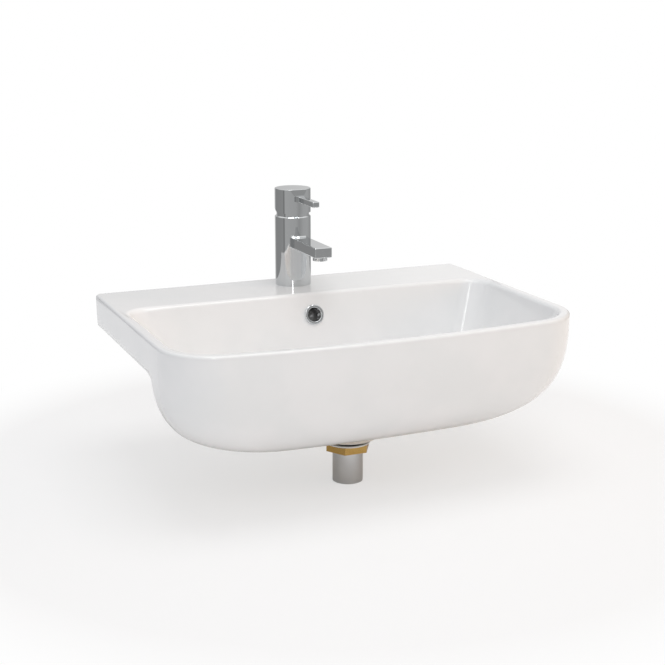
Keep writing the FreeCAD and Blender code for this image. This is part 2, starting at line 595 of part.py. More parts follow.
def make_waste_fixings():
    """The seals, washers and nut that clamp the waste to the basin's floor."""
    seal = waste_piece("waste_flange_seal", WASTE_SEAT_Z)
    ring(seal, "SealProfile", "waste_thread + 2 * piece_clearance", "waste_flange - waste_seal_inset", "0",
         "waste_seal_thickness")

    inner = "waste_thread + 2 * piece_clearance"
    washer = waste_piece("waste_tapered_washer", BOSS_Z)
    revolve(washer, "WasherProfile", [
        ("( %s ) / 2" % inner, "0"), ("( %s ) / 2" % inner, "-1 * tapered_washer_thickness"),
        ("( %s ) / 2 + washer_land" % inner, "-1 * tapered_washer_thickness"),
        ("( %s ) / 2 + washer_width" % inner, "-1 * tapered_washer_thickness / 3"),
        ("( %s ) / 2 + washer_width" % inner, "0")])

    slip = waste_piece("waste_slip_washer", BOSS_Z + " - tapered_washer_thickness")
    ring(slip, "SlipProfile", inner, inner + " + 2 * washer_width", "-1 * slip_washer_thickness", "0")

    nut = waste_piece("waste_backnut", BOSS_Z + " - tapered_washer_thickness - slip_washer_thickness")
    flats = sketch_on(nut, "NutFlats", offset="-1 * backnut_thickness")
    hexagon(flats, "backnut_flats")
    pad(nut, flats, "backnut_thickness")
    thread = sketch_on(nut, "NutThread")
    circle(thread, "waste_thread + 2 * running_clearance")
    pocket(nut, thread, "2 * backnut_thickness")


def make_clicker():
    """The push-to-open sleeve, screwed into the spider."""
    body = waste_piece("clicker_sleeve", WASTE_SEAT_Z)
    low = "( -1 * spider_drop - spider_thickness )"
    high = "( %s + clicker_length )" % low
    revolve(body, "SleeveProfile", [
        ("0", low), ("clicker_diameter / 2", low), ("clicker_diameter / 2", high),
        ("plunger_diameter / 2 + running_clearance", high),
        ("plunger_diameter / 2 + running_clearance", low + " + clicker_wall"),
        ("0", low + " + clicker_wall")])


def make_plug():
    """The plug's cap, its seal and the plunger, shown pushed down."""
    rest = "( waste_seal_thickness + waste_flange_thickness + plug_gap )"
    under = "( %s + plug_seal_thickness )" % rest
    cap = waste_piece("plug_cap", WASTE_SEAT_Z)
    half = "plug_diameter / 2"
    crown_radius = "( ( plug_diameter / 2 - plug_edge_radius ) ^ 2 + plug_crown ^ 2 ) / ( 2 * plug_crown )"
    revolve(cap, "CapProfile", [
        ("0", under), (half + " - plug_skirt", under), (half + " - plug_skirt", rest), (half, rest),
        (half, under + " + plug_thickness - plug_edge_radius"),
        (half + " - plug_edge_radius", under + " + plug_thickness"),
        ("0", under + " + plug_thickness + plug_crown")],
        [(4, "plug_edge_radius", -1), (5, crown_radius, -1)])
    seal = waste_piece("plug_seal", WASTE_SEAT_Z)
    outer = "( plug_diameter - 2 * plug_skirt - 2 * piece_clearance )"
    ring(seal, "SealProfile", outer + " - 2 * plug_seal_width", outer, rest, under)
    plunger = waste_piece("plug_plunger", WASTE_SEAT_Z)
    low = "( clicker_wall + clicker_spring_room - spider_drop - spider_thickness )"
    revolve(plunger, "PlungerProfile", [
        ("0", low), ("plunger_diameter / 2", low), ("plunger_diameter / 2", under), ("0", under)])


# ---------------------------------------------------------------- the tap
def make_tap_body():
    """The tap's turned body with its bar spout, bored for the cartridge, the water and the fixing."""
    body = tap_piece("tap_body")
    column = sketch_on(body, "Column")
    circle(column, "tap_diameter")
    pad(body, column, "tap_height")
    spout = sketch_on(body, "Spout", "XZ_Plane")
    rectangle(spout, "-1 * spout_width / 2", "spout_width / 2", "spout_low", "spout_low + spout_thickness")
    pad(body, spout, "spout_reach")
    radius = value("tap_diameter / 2")

    def on_root(point, edge):
        return near(hypot(point.x, point.y), radius, 0.2) and point.y < 0 and \
            value("spout_low") - 0.1 < point.z < value("spout_low + spout_thickness") + 0.1 and \
            edge.Length < 2 * value("spout_width")

    beyond_root = value("tap_diameter / 2 + spout_root_radius")
    round_edges(body, "spout_edge_radius", lambda point, edge: point.y < -beyond_root)
    round_edges(body, "spout_root_radius", on_root)
    round_edges(body, "tap_chamfer", lambda point, edge: near(point.z, value("tap_height")), "Chamfer")

    bore = "cartridge_diameter / 2 + piece_clearance"
    thread = "nut_diameter / 2 + running_clearance"
    revolve(body, "CartridgeBore", [
        ("0", "cartridge_seat"), (bore, "cartridge_seat"), (bore, "cartridge_shoulder"),
        (thread, "cartridge_shoulder"), (thread, "tap_height + 1"), ("0", "tap_height + 1")],
        kind="Groove")
    revolve(body, "SealGroove", [
        ("base_seal_inner / 2", "0"), ("base_seal_outer / 2", "0"),
        ("base_seal_outer / 2", "base_seal_thickness"), ("base_seal_inner / 2", "base_seal_thickness")],
        kind="Groove")

    # hot and cold inlets: a threaded mouth each, and a passage up to the cartridge
    for name, side in (("Cold", "1"), ("Hot", "-1")):
        across = side + " * inlet_spacing / 2"
        for part, diameter, length in (("Mouth", "inlet_thread", "inlet_length"),
                                       ("Passage", "inlet_passage", "cartridge_seat")):
            inlet = sketch_on(body, name + part)
            circle(inlet, diameter, across, "inlet_setback")
            pocket(body, inlet, length, Reversed=True)
    stud = sketch_on(body, "StudHole")
    circle(stud, "stud_diameter + 2 * running_clearance", "0", "-1 * stud_offset")
    pocket(body, stud, "stud_engagement", Reversed=True)

    # the mixed water: down from the cartridge, along the spout, out at the aerator
    outlet = sketch_on(body, "Outlet", offset="cartridge_seat")
    circle(outlet, "water_bore", "0", "-1 * outlet_offset")
    pocket(body, outlet, "cartridge_seat - water_level")
    along = sketch_on(body, "SpoutBore", "XZ_Plane")
    circle(along, "water_bore", "0", "water_level")
    pocket(body, along, "aerator_reach", Reversed=True)
    aerator = sketch_on(body, "AeratorBore", offset="spout_low")
    circle(aerator, "aerator_thread + 2 * running_clearance", "0", "-1 * aerator_reach")
    pocket(body, aerator, "aerator_chamber", Reversed=True)


def make_aerator():
    housing = new_body("aerator_housing", y=TAP_Y + " - aerator_reach", z=DECK + " + spout_low")
    revolve(housing, "HousingProfile", [
        ("aerator_bore / 2", "-1 * aerator_drop"), ("aerator_diameter / 2", "-1 * aerator_drop"),
        ("aerator_diameter / 2", "0"), ("aerator_thread / 2", "0"),
        ("aerator_thread / 2", "aerator_thread_length"), ("aerator_bore / 2", "aerator_thread_length")])
    insert = new_body("aerator_insert", y=TAP_Y + " - aerator_reach", z=DECK + " + spout_low")
    disc = sketch_on(insert, "InsertDisc", offset="aerator_recess - aerator_drop")
    circle(disc, "aerator_bore - running_clearance")
    pad(insert, disc, "aerator_thread_length")
    jet = sketch_on(insert, "Jet", offset="aerator_recess - aerator_drop")
    circle(jet, "aerator_jet", "aerator_ring / 2", "0")
    first = pocket(insert, jet, "aerator_thread_length", Reversed=True)
    pattern = insert.newObject("PartDesign::PolarPattern", "JetRing")
    pattern.Originals = [first]
    pattern.Axis = (origin_item(insert, "Z_Axis"), [""])
    pattern.Angle = 360
    pattern.Occurrences = 8
    insert.Tip = pattern
    doc.recompute()


def make_tap_fixings():
    """The base seal, and the stud, horseshoe washers and nut that clamp the tap to the deck."""
    seal = tap_piece("tap_base_seal")
    ring(seal, "SealProfile", "base_seal_inner + 2 * running_clearance",
         "base_seal_outer - 2 * running_clearance", "0", "base_seal_thickness")
    stud = tap_piece("tap_stud")
    rod = sketch_on(stud, "Rod", offset="stud_engagement - stud_length")
    circle(rod, "stud_diameter", "0", "-1 * stud_offset")
    pad(stud, rod, "stud_length")
    for name, low, thickness in (
            ("horseshoe_rubber", "0 - horseshoe_rubber_thickness", "horseshoe_rubber_thickness"),
            ("horseshoe_plate", "0 - horseshoe_rubber_thickness - horseshoe_plate_thickness",
             "horseshoe_plate_thickness")):
        shoe = tap_piece(name, "%s - deck_thickness" % low)
        disc = sketch_on(shoe, name + "_disc")
        circle(disc, "horseshoe_diameter")
        pad(shoe, disc, thickness)
        slot = sketch_on(shoe, name + "_slot", offset=thickness)
        rectangle(slot, "-1 * horseshoe_slot / 2", "horseshoe_slot / 2", "-1 * horseshoe_slot_start",
                  "horseshoe_diameter")
        pocket(shoe, slot, thickness)
        hole = sketch_on(shoe, name + "_hole", offset=thickness)
        circle(hole, "stud_diameter + 2 * piece_clearance", "0", "-1 * stud_offset")
        pocket(shoe, hole, thickness)
    stack = "deck_thickness + horseshoe_rubber_thickness + horseshoe_plate_thickness + stud_nut_height"
    nut = new_body("tap_stud_nut", y=TAP_Y + " - stud_offset", z="%s - ( %s )" % (DECK, stack))
    flats = sketch_on(nut, "NutFlats")
    hexagon(flats, "stud_nut_flats")
    pad(nut, flats, "stud_nut_height")
    thread = sketch_on(nut, "NutThread", offset="stud_nut_height")
    circle(thread, "stud_diameter + 2 * running_clearance")
    pocket(nut, thread, "stud_nut_height")


# ---------------------------------------------------------------- the cartridge
def disc_piece(name, low, thickness, diameter, offset="0"):
    """A flat round piece of the cartridge, its centre moved back from the tap's axis."""
    body = tap_piece(name)
    sketch = sketch_on(body, name + "_disc", offset=low)
    circle(sketch, diameter, "0", offset)
    pad(body, sketch, thickness)
    return body


def bore_ports(body, high, thickness):
    """The hot and cold ports at the back and the outlet at the front."""
    side = "port_circle * sin( 60 deg ) / 2"
    for name, across, up in (("Cold", side, "inlet_setback"), ("Hot", "-1 * " + side, "inlet_setback"),
                             ("Outlet", "0", "-1 * outlet_offset")):
        port = sketch_on(body, body.Name + name, offset=high)
        circle(port, "port_diameter", across, up)
        pocket(body, port, thickness)


def make_cartridge():
    gasket_top = "( cartridge_seat + gasket_thickness )"
    base_top = "( %s + cartridge_base_thickness )" % gasket_top
    fixed_top = "( %s + disc_thickness )" % base_top
    moving_top = "( %s + disc_thickness )" % fixed_top
    inner = "cartridge_inner - 2 * running_clearance"

    gasket = disc_piece("cartridge_gasket", "cartridge_seat", "gasket_thickness",
                        "cartridge_diameter - gasket_inset")
    bore_ports(gasket, gasket_top, "gasket_thickness")
    base = disc_piece("cartridge_base", gasket_top, "cartridge_base_thickness", "cartridge_diameter")
    bore_ports(base, base_top, "cartridge_base_thickness")
    fixed = disc_piece("cartridge_fixed_disc", base_top, "disc_thickness", inner)
    bore_ports(fixed, fixed_top, "disc_thickness")

    # the moving disc's hollow joins the ports as the disc slides; the slide carries it
    moving = disc_piece("cartridge_moving_disc", fixed_top, "disc_thickness", "moving_disc_diameter",
                        "moving_disc_offset")
    mixing = sketch_on(moving, "MixingHollow", offset=fixed_top)
    circle(mixing, "mixing_hollow", "0", "moving_disc_offset")
    pocket(moving, mixing, "disc_thickness / 2", Reversed=True)
    slide = disc_piece("cartridge_slide", moving_top, "slide_thickness", "moving_disc_diameter",
                       "moving_disc_offset")
    socket = sketch_on(slide, "BallSocket", offset=moving_top + " + slide_thickness")
    circle(socket, "stem_ball_diameter + 2 * ball_clearance")
    pocket(slide, socket, "slide_thickness")

    # the carrier turns in the housing and holds the lever's pin
    carrier = tap_piece("cartridge_carrier")
    low = "( %s + slide_thickness + 2 * piece_clearance )" % moving_top
    lid = "( cartridge_top - cartridge_lid - piece_clearance )"
    revolve(carrier, "CarrierProfile", [
        ("0", low), ("cartridge_inner / 2 - running_clearance", low),
        ("cartridge_inner / 2 - running_clearance", lid), ("carrier_neck_diameter / 2", lid),
        ("carrier_neck_diameter / 2", "carrier_top"), ("0", "carrier_top")])
    slot = sketch_on(carrier, "StemSlot", offset="carrier_top")
    half = "( stem_width / 2 + running_clearance )"
    rectangle(slot, "-1 * " + half, half, "-1 * carrier_slot_front", "carrier_slot_back")
    pocket(carrier, slot, "cartridge_top")
    hole = sketch_on(carrier, "PinHole", "YZ_Plane")
    circle(hole, "pivot_pin_diameter", "0", "pivot_height")
    pocket(carrier, hole, "pivot_pin_length", SideType="Symmetric")
    pin = tap_piece("cartridge_pin")
    rod = sketch_on(pin, "PinRod", "YZ_Plane")
    circle(rod, "pivot_pin_diameter", "0", "pivot_height")
    pad(pin, rod, "pivot_pin_length", SideType="Symmetric")

    # the stem: a square bar on the pin, with a ball below it in the slide
    stem = tap_piece("cartridge_stem")
    ball_z = "( pivot_height - stem_arm )"
    neck = "stem_neck_diameter / 2"
    ball = "stem_ball_diameter / 2"
    meet = "sqrt( ( %s ) ^ 2 - ( %s ) ^ 2 )" % (ball, neck)
    revolve(stem, "StemBall", [
        ("0", ball_z + " - " + ball), (neck, ball_z + " + " + meet), (neck, "stem_shoulder + 1"),
        ("0", "stem_shoulder + 1")], [(0, ball, -1)])
    bar = sketch_on(stem, "StemBar", offset="stem_shoulder")
    rectangle(bar, "-1 * stem_width / 2", "stem_width / 2", "-1 * stem_width / 2", "stem_width / 2")
    pad(stem, bar, "stem_top - stem_shoulder")
    eye = sketch_on(stem, "StemEye", "YZ_Plane")
    circle(eye, "pivot_pin_diameter + 2 * running_clearance", "0", "pivot_height")
    pocket(stem, eye, "2 * stem_width", SideType="Symmetric")

    housing = tap_piece("cartridge_housing")
    revolve(housing, "HousingProfile", [
        ("cartridge_inner / 2", base_top), ("cartridge_diameter / 2", base_top),
        ("cartridge_diameter / 2", "cartridge_shoulder"),
        ("cartridge_neck_diameter / 2", "cartridge_shoulder"),
        ("cartridge_neck_diameter / 2", "cartridge_top"),
        ("carrier_neck_diameter / 2 + running_clearance", "cartridge_top"),
        ("carrier_neck_diameter / 2 + running_clearance", "cartridge_top - cartridge_lid"),
        ("cartridge_inner / 2", "cartridge_top - cartridge_lid")])
    nut = tap_piece("cartridge_nut")
    ring(nut, "NutProfile", "cartridge_neck_diameter + 2 * piece_clearance", "nut_diameter",
         "cartridge_shoulder", "nut_top")
    shroud = tap_piece("cartridge_shroud")
    hollow = "( cartridge_neck_diameter / 2 + piece_clearance )"
    revolve(shroud, "ShroudProfile", [
        (hollow, "nut_top"), ("nut_diameter / 2", "nut_top"), ("nut_diameter / 2", "tap_height"),
        ("shroud_diameter / 2", "tap_height"), ("shroud_diameter / 2", "shroud_top"),
        ("shroud_opening / 2", "shroud_top"), ("shroud_opening / 2", "shroud_top - shroud_lid"),
        (hollow, "shroud_top - shroud_lid")])


# ---------------------------------------------------------------- the handle
def make_handle():
    """The round cap with its bar lever, relieved at the back so that it can tilt."""
    body = tap_piece("tap_handle")
    top = "( handle_low + handle_height )"
    cap = sketch_on(body, "Cap", offset="handle_low")
    circle(cap, "tap_diameter")
    pad(body, cap, "handle_height")
    relief = sketch_on(body, "Relief", "YZ_Plane")
    rise = "( ( tap_diameter + handle_relief_start ) * tan( handle_relief_angle * 1 deg ) )"
    polygon(relief, [
        ("-1 * handle_relief_start", "handle_low"), ("tap_diameter", "handle_low"),
        ("tap_diameter", "handle_low + " + rise)])
    pocket(body, relief, "2 * tap_diameter", SideType="Symmetric")
    facet = sketch_on(body, "Facet", "YZ_Plane")
    lean = "facet_height * tan( facet_angle * 1 deg )"
    polygon(facet, [
        ("-1 * facet_top", top), ("-1 * facet_top - " + lean, top + " - facet_height"),
        ("-1 * tap_diameter", top + " - facet_height"), ("-1 * tap_diameter", top)])
    pocket(body, facet, "2 * tap_diameter", SideType="Symmetric")
    round_edges(body, "handle_edge_radius", lambda point, edge: near(point.z, value(top)))

    lever = sketch_on(body, "Lever", offset="lever_low")
    polygon(lever, [
        ("lever_root_width / 2", "-1 * lever_start"), ("-1 * lever_root_width / 2", "-1 * lever_start"),
        ("-1 * lever_root_width / 2", "-1 * tap_diameter / 2"),
        ("-1 * lever_width / 2", "-1 * lever_root_reach"), ("-1 * lever_width / 2", "-1 * lever_reach"),
        ("lever_width / 2", "-1 * lever_reach"), ("lever_width / 2", "-1 * lever_root_reach"),
        ("lever_root_width / 2", "-1 * tap_diameter / 2")])
    pad(body, lever, "lever_thickness")
    round_edges(body, "lever_edge_radius", lambda point, edge: point.y < -value("lever_root_reach"))

    hollow = sketch_on(body, "Hollow", offset="handle_low")
    circle(hollow, "handle_hollow", prefix="wide")
    circle(hollow, "handle_boss", prefix="narrow")
    pocket(body, hollow, "handle_hollow_depth", Reversed=True)
    socket = sketch_on(body, "StemSocket", offset="handle_low")
    half = "( stem_width / 2 + running_clearance )"
    rectangle(socket, "-1 * " + half, half, "-1 * " + half, half)
    pocket(body, socket, "stem_top - handle_low + running_clearance", Reversed=True)
    grub = sketch_on(body, "GrubHole", "XZ_Plane")
    circle(grub, "grub_diameter", "0", "grub_height")
    pocket(body, grub, "tap_diameter")
    seat = sketch_on(body, "CapSeat", "XZ_Plane", "screw_cap_depth - tap_diameter / 2")
    circle(seat, "screw_cap_diameter", "0", "grub_height")
    pocket(body, seat, "tap_diameter")


def make_handle_fixings():
    """The grub screw that grips the stem, and the cap over it."""
    screw = new_body("handle_grub_screw", y=TAP_Y + " + stem_width / 2", z=DECK + " + grub_height")
    rod = sketch_on(screw, "ScrewRod", "XZ_Plane")
    circle(rod, "grub_diameter - 2 * running_clearance")
    pad(screw, rod, "grub_length", Reversed=True)
    key = sketch_on(screw, "KeySocket", "XZ_Plane", "-1 * grub_length")
    hexagon(key, "grub_key")
    pocket(screw, key, "grub_key_depth", Reversed=True)
    cap = new_body("handle_screw_cap", y=TAP_Y + " + tap_diameter / 2 - screw_cap_depth",
                   z=DECK + " + grub_height")
    button = sketch_on(cap, "CapRod", "XZ_Plane")
    circle(button, "screw_cap_diameter - 2 * running_clearance")
    pad(cap, button, "screw_cap_depth - screw_cap_gap", Reversed=True)


def write_parts():
    """Checks every object, then writes each sub-part under its own name."""
    doc.recompute()
    bad = [item.Name for item in doc.Objects if {"Invalid", "Error"} & set(item.State)]
    if bad:
        raise RuntimeError("failed objects: " + ", ".join(bad))
    bodies = [item for item in doc.Objects if item.TypeId == "PartDesign::Body"]
    for body in bodies:
        if body.Shape.isNull() or not body.Shape.isValid() or len(body.Shape.Solids) != 1:
            raise RuntimeError("bad shape: " + body.Label)
    os.makedirs("parts", exist_ok=True)
    for body in bodies:
        body.Shape.exportStep("parts/%s.step" % body.Label)
    print(len(bodies), "sub-parts written")


make_basin()
make_overflow_trim()
make_waste_body()
make_waste_fixings()
make_clicker()
make_plug()
make_tap_body()
make_aerator()
make_tap_fixings()
make_cartridge()
make_handle()
make_handle_fixings()
write_parts()
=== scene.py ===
"""The semi recessed basin and its tap: materials, the basin's visible surfaces, studio and camera.

Everything is in metres in the row frame: +Z up, +X right seen from the front, +Y to the wall, with
the origin in the middle of the back wall's seat.
"""
import json
import math

import bmesh
import bpy
import numpy as np
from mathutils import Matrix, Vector


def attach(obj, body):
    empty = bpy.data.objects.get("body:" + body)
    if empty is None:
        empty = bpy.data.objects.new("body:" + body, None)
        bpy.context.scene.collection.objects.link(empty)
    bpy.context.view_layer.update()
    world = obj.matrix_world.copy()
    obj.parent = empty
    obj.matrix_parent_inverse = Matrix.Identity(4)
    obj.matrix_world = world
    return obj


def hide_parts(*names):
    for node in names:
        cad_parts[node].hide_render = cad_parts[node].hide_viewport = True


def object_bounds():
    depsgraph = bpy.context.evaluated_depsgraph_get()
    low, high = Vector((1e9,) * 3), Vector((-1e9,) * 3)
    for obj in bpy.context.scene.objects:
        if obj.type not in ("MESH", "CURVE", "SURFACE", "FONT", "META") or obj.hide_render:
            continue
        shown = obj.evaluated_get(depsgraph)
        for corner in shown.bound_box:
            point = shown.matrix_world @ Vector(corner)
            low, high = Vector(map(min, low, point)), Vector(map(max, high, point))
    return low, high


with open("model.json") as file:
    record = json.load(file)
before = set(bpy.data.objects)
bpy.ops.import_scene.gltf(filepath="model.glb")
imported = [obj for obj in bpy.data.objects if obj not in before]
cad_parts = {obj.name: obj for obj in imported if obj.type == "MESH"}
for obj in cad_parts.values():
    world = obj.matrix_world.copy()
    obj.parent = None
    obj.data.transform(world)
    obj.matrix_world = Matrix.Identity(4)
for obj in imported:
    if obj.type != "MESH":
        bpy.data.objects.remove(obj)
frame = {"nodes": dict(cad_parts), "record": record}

cad_box = [list(corner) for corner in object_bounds()]
FLOOR_Z = cad_box[0][2]
MM, WELD = 0.001, 1e-6


# ---------------------------------------------------------------- colours and nodes
def srgb(code):
    """Linear RGBA of an sRGB hex code."""
    shares = [int(code[at:at + 2], 16) / 255 for at in (0, 2, 4)]
    return [s / 12.92 if s <= 0.04045 else ((s + 0.055) / 1.055) ** 2.4 for s in shares] + [1.0]


def add(tree, kind, inputs=None, **settings):
    """Adds one node: settings are its properties, inputs the values or links of its sockets."""
    made = tree.nodes.new("ShaderNode" + kind)
    for name, item in settings.items():
        setattr(made, name, item)
    for name, item in (inputs or {}).items():
        if isinstance(item, bpy.types.NodeSocket):
            tree.links.new(item, made.inputs[name])
        else:
            made.inputs[name].default_value = item
    return made


def math_node(tree, operation, first, second):
    """One sum, product or other operation on two numbers."""
    return add(tree, "Math", {0: first, 1: second}, operation=operation).outputs[0]


def ramp(tree, value, low, high, from_out=0.0, to_out=1.0):
    """A smooth step of a value between two of its values."""
    return add(tree, "MapRange", {"Value": value, "From Min": low, "From Max": high,
                                  "To Min": from_out, "To Max": to_out},
               interpolation_type="SMOOTHSTEP", clamp=True).outputs[0]


def blend_colours(tree, share, first, second):
    """A colour between two, by the share of the second."""
    mix = add(tree, "Mix", {0: share, 6: first, 7: second}, data_type="RGBA")
    return mix.outputs[2]


def noise(tree, place, millimetres, detail=2.0, roughness=0.5):
    """Noise whose features are about that many millimetres across."""
    return add(tree, "TexNoise", {"Vector": place, "Scale": 1 / (millimetres * MM), "Detail": detail,
                                  "Roughness": roughness}).outputs["Fac"]


def bump(tree, height, depth_mm, normal=None):
    """A relief of at most that many millimetres, on top of another one where a normal is given."""
    inputs = {"Height": height, "Distance": depth_mm * MM, "Strength": 1.0}
    if normal is not None:
        inputs["Normal"] = normal
    return add(tree, "Bump", inputs).outputs["Normal"]


def new_material(name):
    """An empty material with its nodes' tree and the place on the object."""
    made = bpy.data.materials.new(name)
    made.use_nodes = True
    tree = made.node_tree
    tree.nodes.clear()
    place = add(tree, "TexCoord").outputs["Object"]
    return made, tree, place


def finish_material(tree, **inputs):
    """The shader and the output; an underscore in an input's name stands for a space."""
    shader = add(tree, "BsdfPrincipled", {name.replace("_", " "): item for name, item in inputs.items()})
    output = add(tree, "OutputMaterial")
    tree.links.new(shader.outputs[0], output.inputs["Surface"])


# ---------------------------------------------------------------- materials
def glazed_ceramic():
    """Fired vitreous china: a sprayed opaque white glaze, which leaves a faint orange peel.

    Where the basin stood in the kiln and under the worktop it is bare clay, dull and slightly yellow.
    Inside the overflow's channel a dark grey is painted on: a painted shade for its unlit inside.
    """
    made, tree, place = new_material("glazed_ceramic")
    patches = noise(tree, place, 90, 3)
    tint = blend_colours(tree, ramp(tree, patches, 0.35, 0.65), srgb("F6F6F6"), srgb("F2F3F3"))
    bare = add(tree, "Attribute", attribute_name="bare").outputs["Fac"]
    duct_shade = add(tree, "Attribute", attribute_name="duct_shade").outputs["Fac"]
    tint = blend_colours(tree, bare, tint, srgb("E6E0D6"))
    # painted shade: dark grey inside the overflow's channel, where little light gets in
    tint = blend_colours(tree, duct_shade, tint, srgb("4A4947"))
    swell = bump(tree, noise(tree, place, 35, 1), 0.10)
    peel = bump(tree, noise(tree, place, 1.6, 2), 0.006, normal=swell)
    finish_material(tree, Base_Color=tint, Roughness=ramp(tree, bare, 0, 1, 0.08, 0.85), IOR=1.52,
                    Normal=peel)
    return made


def chrome_plate():
    """Brass polished and chrome plated: a mirror with a trace of the polishing left in it."""
    made, tree, place = new_material("chrome_plate")
    smear = noise(tree, place, 14, 4, 0.6)
    rough = ramp(tree, smear, 0.35, 0.75, 0.025, 0.06)
    peel = bump(tree, noise(tree, place, 6, 1), 0.004)
    finish_material(tree, Base_Color=srgb("D7D9DA"), Metallic=1.0, Roughness=rough, Normal=peel)
    return made


def machined_brass():
    """Brass as turned: a warm metal with fine turning marks."""
    made, tree, place = new_material("machined_brass")
    marks = add(tree, "TexWave", {"Vector": place, "Scale": 900.0, "Distortion": 1.5, "Detail": 2.0},
                wave_type="BANDS", bands_direction="Z").outputs["Fac"]
    tint = blend_colours(tree, noise(tree, place, 8, 3), srgb("C9A869"), srgb("B8924F"))
    finish_material(tree, Base_Color=tint, Metallic=1.0, Roughness=ramp(tree, marks, 0, 1, 0.22, 0.36),
                    Normal=bump(tree, marks, 0.01))
    return made


def black_rubber():
    """Moulded rubber: dark, dull, with a powdery bloom."""
    made, tree, place = new_material("black_rubber")
    bloom = noise(tree, place, 5, 4, 0.6)
    tint = blend_colours(tree, bloom, srgb("1B1B1C"), srgb("323334"))
    finish_material(tree, Base_Color=tint, Roughness=ramp(tree, bloom, 0.2, 0.8, 0.55, 0.8),
                    Normal=bump(tree, noise(tree, place, 0.4, 2), 0.02))
    return made


def moulded_plastic():
    """Injection moulded plastic, off white, with a fine spark-eroded texture."""
    made, tree, place = new_material("moulded_plastic")
    tint = blend_colours(tree, noise(tree, place, 20, 2), srgb("E9E9E6"), srgb("DFDFDB"))
    finish_material(tree, Base_Color=tint, Roughness=0.42, IOR=1.49,
                    Normal=bump(tree, noise(tree, place, 0.25, 2), 0.012))
    return made


def zinc_steel():
    """Steel with bright zinc: a pale metal, spangled and slightly blue."""
    made, tree, place = new_material("zinc_steel")
    spangle = add(tree, "TexVoronoi", {"Vector": place, "Scale": 700.0}).outputs["Distance"]
    tint = blend_colours(tree, spangle, srgb("B9BEC4"), srgb("A2A6AB"))
    finish_material(tree, Base_Color=tint, Metallic=1.0, Roughness=ramp(tree, spangle, 0, 1, 0.25, 0.42))
    return made


def sintered_alumina():
    """Lapped alumina: a hard pale ceramic, nearly polished."""
    made, tree, place = new_material("sintered_alumina")
    tint = blend_colours(tree, noise(tree, place, 1.2, 2), srgb("F1EEE6"), srgb("E6E2D8"))
    finish_material(tree, Base_Color=tint, Roughness=0.3,
                    Normal=bump(tree, noise(tree, place, 0.3, 1), 0.004))
    return made


MATERIALS = {
    "glazed_ceramic": glazed_ceramic(), "chrome_plate": chrome_plate(), "brass": machined_brass(),
    "black_rubber": black_rubber(), "white_plastic": moulded_plastic(), "zinc_steel": zinc_steel(),
    "alumina": sintered_alumina(),
}
slot_of = {part["node"]: part["material_slot"] for part in frame["record"]["subparts"]}
for name, item in frame["nodes"].items():
    for slot in item.material_slots:
        slot.material = MATERIALS[slot_of[name]]


# ---------------------------------------------------------------- the basin's form, in millimetres
RIM_Z, BACK_Y, SHOULDER_Y = 43.0, 6.0, -277.0
HALF, BOW_RADIUS = 280.0, 1700.0
FRONT_CORNER, BACK_CORNER = 74.0, 8.0
APRON_DEPTH, APRON_FLOOR = 163.0, 159.5
APRON_CENTRE, APRON_REACH = -214.0, 180.0
SIDE_POWER, FRONT_POWER = 3.5, 2.8
BOWL_DEPTH, BOWL_FLOOR, BOWL_POWER, TAPER = 145.0, 143.0, 6, 0.30
BOWL_HALF, BOWL_CENTRE, BOWL_FRONT, BOWL_BACK = 266.0, -239.0, 141.0, 132.0
BOWL_CORNER, BACK_BEND, BEND_GROWTH = 60.0, 30.0, 0.10
RIM_RADIUS, MOUTH_RADIUS, CORNER_ROLL, ROLL_SPREAD = 4.0, 6.5, 4.5, 14.0
WASTE_Y, DISH_RADIUS, DISH_DEPTH, RECESS_RADIUS = -234.0, 56.0, 1.6, 33.5
TAP_Y, TAP_CLEAR, TAP_HOLE = -37.0, 20.5, 17.8
OVERFLOW_Y, OVERFLOW_Z, OVERFLOW_CLEAR, OVERFLOW_REACH = -115.85, 13.5, 12.0, -140.0
# the box round the overflow's channel, inside which dark grey is painted on as painted shade
DUCT_HALF, DUCT_Y, DUCT_Z = 32.0, (-114.0, -60.0), (-99.0, 28.0)

# steps along the right half of an outline, rows of each part of the skin, and points of a fine curve
FRONT_STEPS, SIDE_STEPS, CORNER_STEPS, BACK_STEPS = 150, 40, 16, 96
HALF_COUNT = FRONT_STEPS + SIDE_STEPS + CORNER_STEPS + BACK_STEPS + 1
LOW_ROWS, BAND_ROWS, RIM_ROWS, DECK_ROWS, ROLL_ROWS, WALL_ROWS, FLOOR_ROWS = 72, 9, 8, 22, 11, 46, 15
ARC_POINTS, CURVE_POINTS, LEVEL_STEP = 400, 600, 0.5

# how far the skin's hidden lips reach in under the front and over the seat, and lie inside the solid
UNDER_LIP, SEAT_LIP, SUNK = 8.0, 1.5, 0.03


